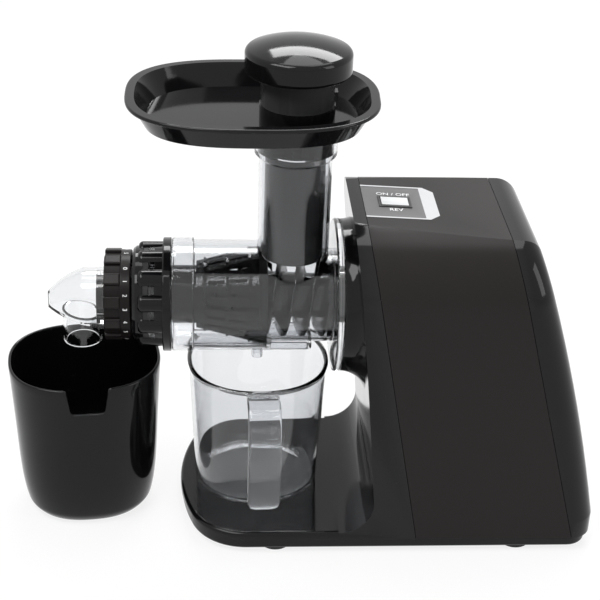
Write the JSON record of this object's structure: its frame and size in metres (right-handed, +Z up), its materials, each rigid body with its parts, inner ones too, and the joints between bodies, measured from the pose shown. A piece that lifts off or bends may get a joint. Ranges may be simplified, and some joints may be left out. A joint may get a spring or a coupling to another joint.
{
  "type": "cold press juicer",
  "caption": "Horizontal slow juicer with a motor base, clear drum with feed chute, tray, pusher, adjustable nozzle, juice jug and pulp cup.",
  "frame": {"origin": "centre of the machine's box, at table level", "axes": "+X along the auger from the pulp nozzle to the motor, +Y away from the user, +Z up"},
  "size_m": [0.428, 0.1542, 0.3585],
  "materials": {
    "gloss_black": "glossy moulded plastic",
    "satin_black": "satin moulded plastic",
    "matte_black": "matt moulded plastic",
    "strainer_black": "matt moulded plastic",
    "auger_black": "glossy moulded plastic",
    "pusher_grey": "glossy moulded plastic",
    "clear": "clear moulded plastic",
    "panel_grey": "fine matt plastic",
    "bright_trim": "bright plated plastic",
    "switch_silver": "silver plastic",
    "rubber": "rubber",
    "silicone": "soft silicone",
    "steel": "plain steel",
    "bronze": "sintered bronze",
    "gear_nylon": "nylon",
    "board_green": "circuit board"
  },
  "bodies": {
    "root": {"base_shell": "gloss_black", "bottom_pan": "gloss_black", "feet": "rubber", "base_screws": "steel", "wrap_cover": "satin_black", "rear_cover": "gloss_black", "panel_plate": "panel_grey", "panel_trim": "bright_trim", "switch_body": "matte_black", "cord_gland": "rubber", "circuit_board": "board_green", "gearbox_case": "matte_black", "gearbox_cover": "matte_black", "bushes": "bronze", "shaft_seal": "silicone", "stator": "steel", "motor_can": "steel", "motor_end_cap": "steel", "drum": "clear", "auger_seal": "silicone", "strainer": "strainer_black", "end_cap": "matte_black"},
    "switch_rocker": {"rocker": "switch_silver"},
    "motor_rotor": {"rotor": "steel"},
    "layshaft": {"lay_gear": "gear_nylon"},
    "auger_drive": {"output_shaft": "steel", "output_gear": "gear_nylon", "auger": "auger_black"},
    "lock": {"locking_ring": "gloss_black"},
    "nozzle_dial": {"dial": "satin_black"},
    "valve": {"outlet_valve": "silicone"},
    "pulp_hood": {"hood": "clear"},
    "feed_tray": {"tray": "gloss_black"},
    "food_pusher": {"pusher": "pusher_grey", "pusher_cap": "gloss_black"},
    "juice_jug": {"jug": "clear"},
    "cup": {"pulp_cup": "gloss_black"}
  },
  "joints": [
    {"name": "switch_tilt", "type": "hinge", "parent": "root", "child": "switch_rocker", "pos_m": [0.05622, 0.00108, 0.2415], "axis": [0.9988, 0, -0.0485], "range_deg": [-8, 8]},
    {"name": "rotor_spin", "type": "hinge", "parent": "root", "child": "motor_rotor", "pos_m": [-0.01269, 0.00108, 0.07475], "axis": [1, 0, 0], "continuous": true},
    {"name": "lay_spin", "type": "hinge", "parent": "root", "child": "layshaft", "pos_m": [-0.01269, 0.00108, 0.11975], "axis": [1, 0, 0], "continuous": true},
    {"name": "auger_spin", "type": "hinge", "parent": "root", "child": "auger_drive", "pos_m": [-0.01269, 0.00108, 0.1705], "axis": [1, 0, 0], "continuous": true},
    {"name": "lock_turn", "type": "hinge", "parent": "root", "child": "lock", "pos_m": [-0.10269, 0.00108, 0.1705], "axis": [1, 0, 0], "range_deg": [0, 45]},
    {"name": "dial_turn", "type": "hinge", "parent": "root", "child": "nozzle_dial", "pos_m": [-0.13269, 0.00108, 0.1705], "axis": [1, 0, 0], "range_deg": [0, 90]},
    {"name": "valve_slide", "type": "slide", "parent": "root", "child": "valve", "axis": [-1, 0, 0], "range_m": [0, 0.004]},
    {"name": "hood_swivel", "type": "hinge", "parent": "root", "child": "pulp_hood", "pos_m": [-0.14569, 0.00108, 0.1705], "axis": [1, 0, 0], "range_deg": [-30, 30]},
    {"name": "tray_lift", "type": "slide", "parent": "root", "child": "feed_tray", "axis": [0, 0, 1], "range_m": [0, 0.06]},
    {"name": "pusher_lift", "type": "slide", "parent": "feed_tray", "child": "food_pusher", "axis": [0, 0, 1], "range_m": [0, 0.13]},
    {"name": "jug_slide", "type": "slide", "parent": "root", "child": "juice_jug", "axis": [0, -1, 0], "range_m": [0, 0.13]},
    {"name": "cup_slide", "type": "slide", "parent": "root", "child": "cup", "axis": [0, -1, 0], "range_m": [0, 0.13]}
  ],
  "couplings": [
    {"joint": "lay_spin", "follows": "rotor_spin", "ratio": -0.25},
    {"joint": "auger_spin", "follows": "rotor_spin", "ratio": 0.079545},
    {"joint": "valve_slide", "follows": "dial_turn", "m_per_rad": 0.0025465}
  ]
}
